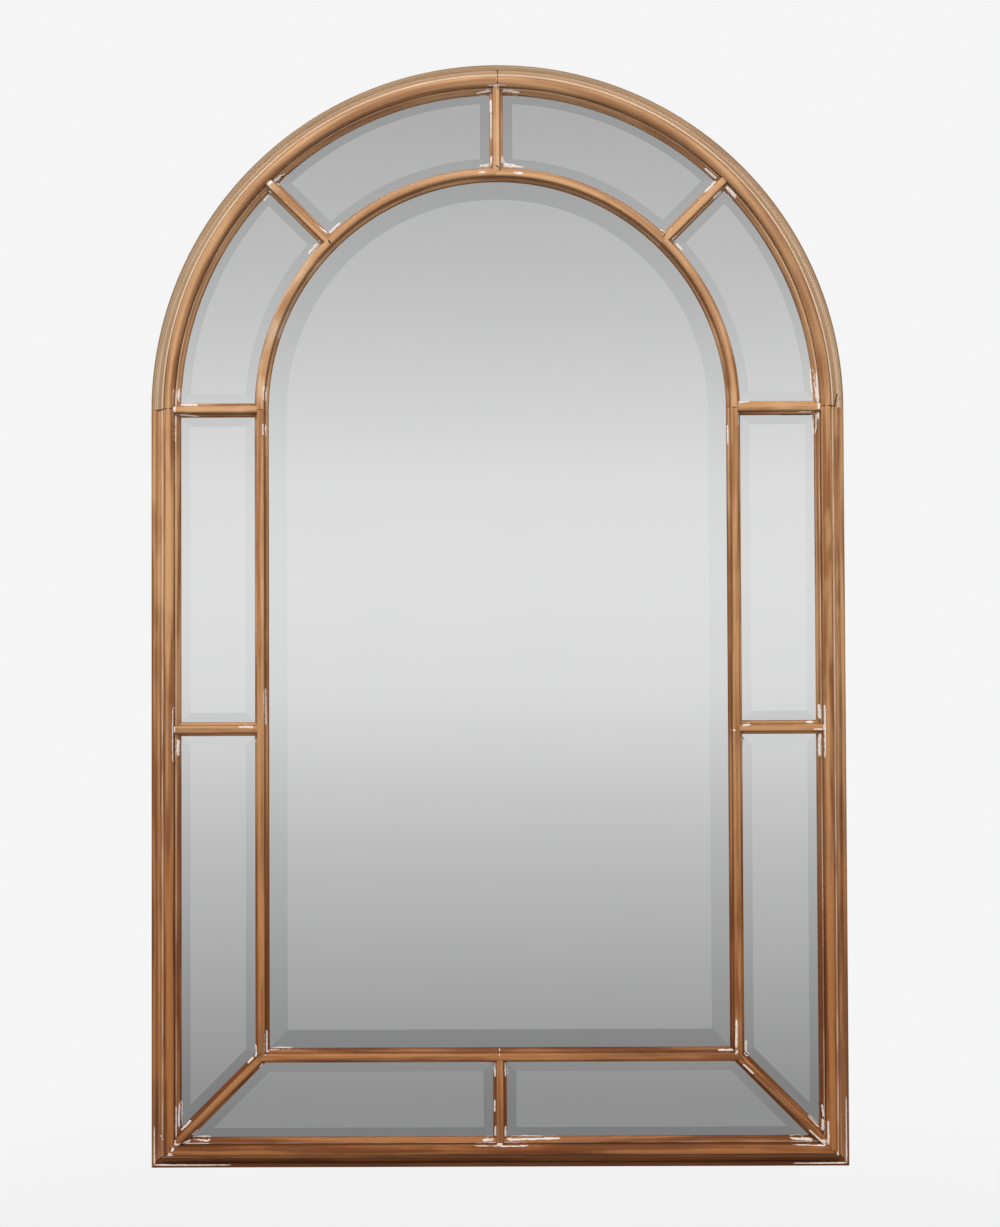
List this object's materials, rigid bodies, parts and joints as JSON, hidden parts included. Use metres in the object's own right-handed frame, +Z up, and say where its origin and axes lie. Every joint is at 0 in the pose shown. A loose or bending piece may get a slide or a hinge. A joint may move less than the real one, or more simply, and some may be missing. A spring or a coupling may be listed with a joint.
{
  "type": "arched window mirror",
  "caption": "Tall wall mirror with a half-round head, moulded wooden frame and glazing bars round a large bevelled pane and a border of smaller ones, hung by rings.",
  "frame": {"origin": "on the wall plane, midway between the two wall hooks at the level where the raised rings rest on them", "axes": "+X to the right as the mirror is looked at, +Y into the wall, +Z up; the front faces -Y"},
  "size_m": [0.768, 0.04, 1.22],
  "materials": {
    "frame_wood": "stained softwood, waxed",
    "bar_wood": "stained softwood, waxed",
    "mirror_glass": "silvered, polished",
    "board": "hardboard, smooth",
    "dowel_wood": "plain beech",
    "zinc_steel": "zinc plated",
    "felt": "felt"
  },
  "bodies": {
    "root": {"frame_stile_left": "frame_wood", "frame_stile_right": "frame_wood", "frame_bottom_rail": "frame_wood", "frame_arch_left": "frame_wood", "frame_arch_right": "frame_wood", "inner_arch_lower_left": "bar_wood", "inner_arch_upper_left": "bar_wood", "inner_arch_upper_right": "bar_wood", "inner_arch_lower_right": "bar_wood", "inner_stile_left": "bar_wood", "inner_stile_right": "bar_wood", "inner_bottom_bar": "bar_wood", "haunch_spoke_left": "bar_wood", "crown_spoke": "bar_wood", "haunch_spoke_right": "bar_wood", "springing_bar_left": "bar_wood", "springing_bar_right": "bar_wood", "side_bar_left": "bar_wood", "side_bar_right": "bar_wood", "corner_bar_left": "bar_wood", "corner_bar_right": "bar_wood", "bottom_centre_bar": "bar_wood", "pane_centre": "mirror_glass", "pane_bottom_left": "mirror_glass", "pane_bottom_right": "mirror_glass", "pane_arch_lower_left": "mirror_glass", "pane_arch_upper_left": "mirror_glass", "pane_arch_upper_right": "mirror_glass", "pane_arch_lower_right": "mirror_glass", "pane_side_upper_left": "mirror_glass", "pane_side_upper_right": "mirror_glass", "pane_side_lower_left": "mirror_glass", "pane_side_lower_right": "mirror_glass", "backing_board": "board", "backing_screws": "zinc_steel", "frame_joint_dowels": "dowel_wood", "wall_bumpers": "felt", "hanger_plate_left": "zinc_steel", "hanger_screws_left": "zinc_steel", "hanger_plate_right": "zinc_steel", "hanger_screws_right": "zinc_steel"},
    "ring_left": {"hanger_ring_left": "zinc_steel"},
    "ring_right": {"hanger_ring_right": "zinc_steel"}
  },
  "joints": [
    {"name": "ring_left_swing", "type": "hinge", "parent": "root", "child": "ring_left", "pos_m": [-0.372, -0.00344, -0.016], "axis": [1, 0, 0], "range_deg": [0, 180]},
    {"name": "ring_right_swing", "type": "hinge", "parent": "root", "child": "ring_right", "pos_m": [0.372, -0.00344, -0.016], "axis": [1, 0, 0], "range_deg": [0, 180]}
  ]
}
